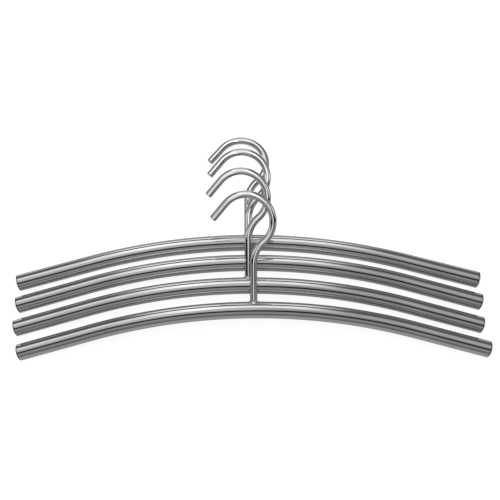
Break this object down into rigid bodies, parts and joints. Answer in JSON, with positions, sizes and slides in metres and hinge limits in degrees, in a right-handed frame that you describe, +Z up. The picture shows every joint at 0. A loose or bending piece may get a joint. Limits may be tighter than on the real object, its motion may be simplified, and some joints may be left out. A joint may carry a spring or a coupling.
{
  "type": "trouser hanger",
  "caption": "Row of curved steel tube hangers, each with a bent rod hook welded to its middle, lying staggered so that every neck rests on the bar behind.",
  "frame": {"origin": "on the surface that the row lies on, under the middle of the whole row's box", "axes": "+X along the bars, +Y from the front bar towards the hooks and the rearmost hanger, +Z up from the surface"},
  "size_m": [0.461, 0.2296, 0.068],
  "materials": {
    "polished_tube": "polished bent steel tube",
    "polished_rod": "polished bent steel rod",
    "weld_bead": "small dressed weld bead",
    "end_cap": "satin pressed cap"
  },
  "bodies": {
    "hanger_1": {"hanger_1_bar_tube": "polished_tube", "hanger_1_hook_rod": "polished_rod", "hanger_1_hook_weld": "weld_bead", "hanger_1_left_cap": "end_cap", "hanger_1_right_cap": "end_cap"},
    "hanger_2": {"hanger_2_bar_tube": "polished_tube", "hanger_2_hook_rod": "polished_rod", "hanger_2_hook_weld": "weld_bead", "hanger_2_left_cap": "end_cap", "hanger_2_right_cap": "end_cap"},
    "hanger_3": {"hanger_3_bar_tube": "polished_tube", "hanger_3_hook_rod": "polished_rod", "hanger_3_hook_weld": "weld_bead", "hanger_3_left_cap": "end_cap", "hanger_3_right_cap": "end_cap"},
    "hanger_4": {"hanger_4_bar_tube": "polished_tube", "hanger_4_hook_rod": "polished_rod", "hanger_4_hook_weld": "weld_bead", "hanger_4_left_cap": "end_cap", "hanger_4_right_cap": "end_cap"}
  },
  "joints": [
    {"name": "hanger_2_lift", "type": "slide", "parent": "hanger_1", "child": "hanger_2", "axis": [0, 0, 1], "range_m": [0, 0.08]},
    {"name": "hanger_3_lift", "type": "slide", "parent": "hanger_2", "child": "hanger_3", "axis": [0, 0, 1], "range_m": [0, 0.08]},
    {"name": "hanger_4_lift", "type": "slide", "parent": "hanger_3", "child": "hanger_4", "axis": [0, 0, 1], "range_m": [0, 0.08]}
  ]
}
